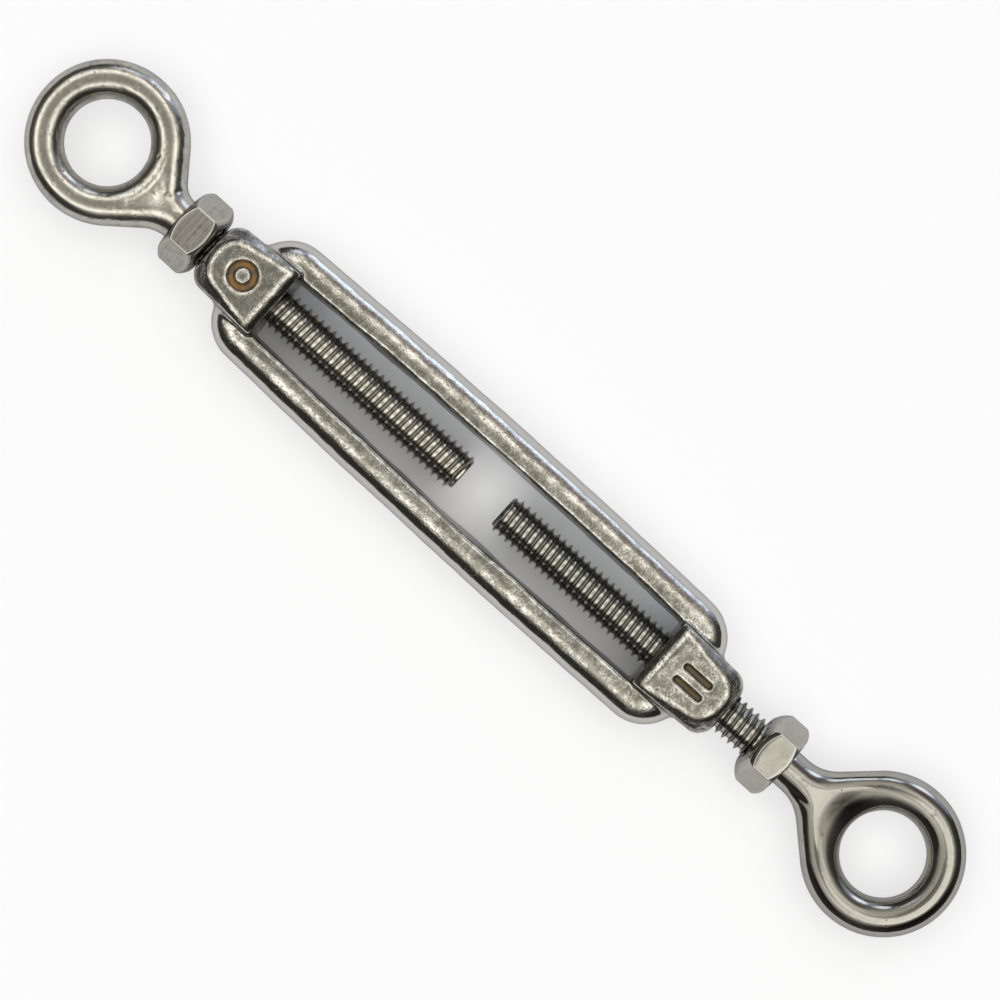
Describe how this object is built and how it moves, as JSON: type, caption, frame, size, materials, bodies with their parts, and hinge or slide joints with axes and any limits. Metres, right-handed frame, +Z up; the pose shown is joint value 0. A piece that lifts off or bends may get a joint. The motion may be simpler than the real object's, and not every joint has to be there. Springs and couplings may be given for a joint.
{
  "type": "eye and eye turnbuckle",
  "caption": "Open-body rigging screw with an eye at each end, a hexagon lock nut on each screw, and opposite-handed threads that draw the eyes together.",
  "frame": {"origin": "middle of the bottom of the whole object's box, on the plane that the two bosses rest on", "axes": "+X along the screws towards the right-hand threaded end, +Y across the object in the plane of both eyes, +Z up out of that plane"},
  "size_m": [0.212, 0.0304, 0.0135],
  "materials": {
    "cast_body": "cast, tumbled and polished",
    "satin_eye": "satin polished",
    "bright_eye": "bright polished",
    "brushed_nut": "brushed",
    "smooth_nut": "smooth"
  },
  "bodies": {
    "body": {"turnbuckle_body": "cast_body"},
    "left_nut": {"left_lock_nut": "brushed_nut"},
    "left_eye": {"left_eye_bolt": "satin_eye"},
    "right_nut": {"right_lock_nut": "smooth_nut"},
    "right_eye": {"right_eye_bolt": "bright_eye"}
  },
  "joints": [
    {"name": "left_travel", "type": "slide", "parent": "body", "child": "left_nut", "axis": [-1, 0, 0], "range_m": [-0.00071, 0.04304]},
    {"name": "left_turn", "type": "hinge", "parent": "left_nut", "child": "left_eye", "pos_m": [-0.07, -0.00077, 0.00675], "axis": [1, 0, 0], "range_deg": [-180, 10980]},
    {"name": "right_travel", "type": "slide", "parent": "body", "child": "right_nut", "axis": [1, 0, 0], "range_m": [-0.00705, 0.03669]},
    {"name": "right_turn", "type": "hinge", "parent": "right_nut", "child": "right_eye", "pos_m": [0.07, -0.00077, 0.00675], "axis": [1, 0, 0], "range_deg": [-1800, 9360]}
  ],
  "couplings": [
    {"joint": "left_turn", "follows": "left_travel", "rad_per_m": 4452.7},
    {"joint": "right_turn", "follows": "right_travel", "rad_per_m": 4452.7}
  ]
}
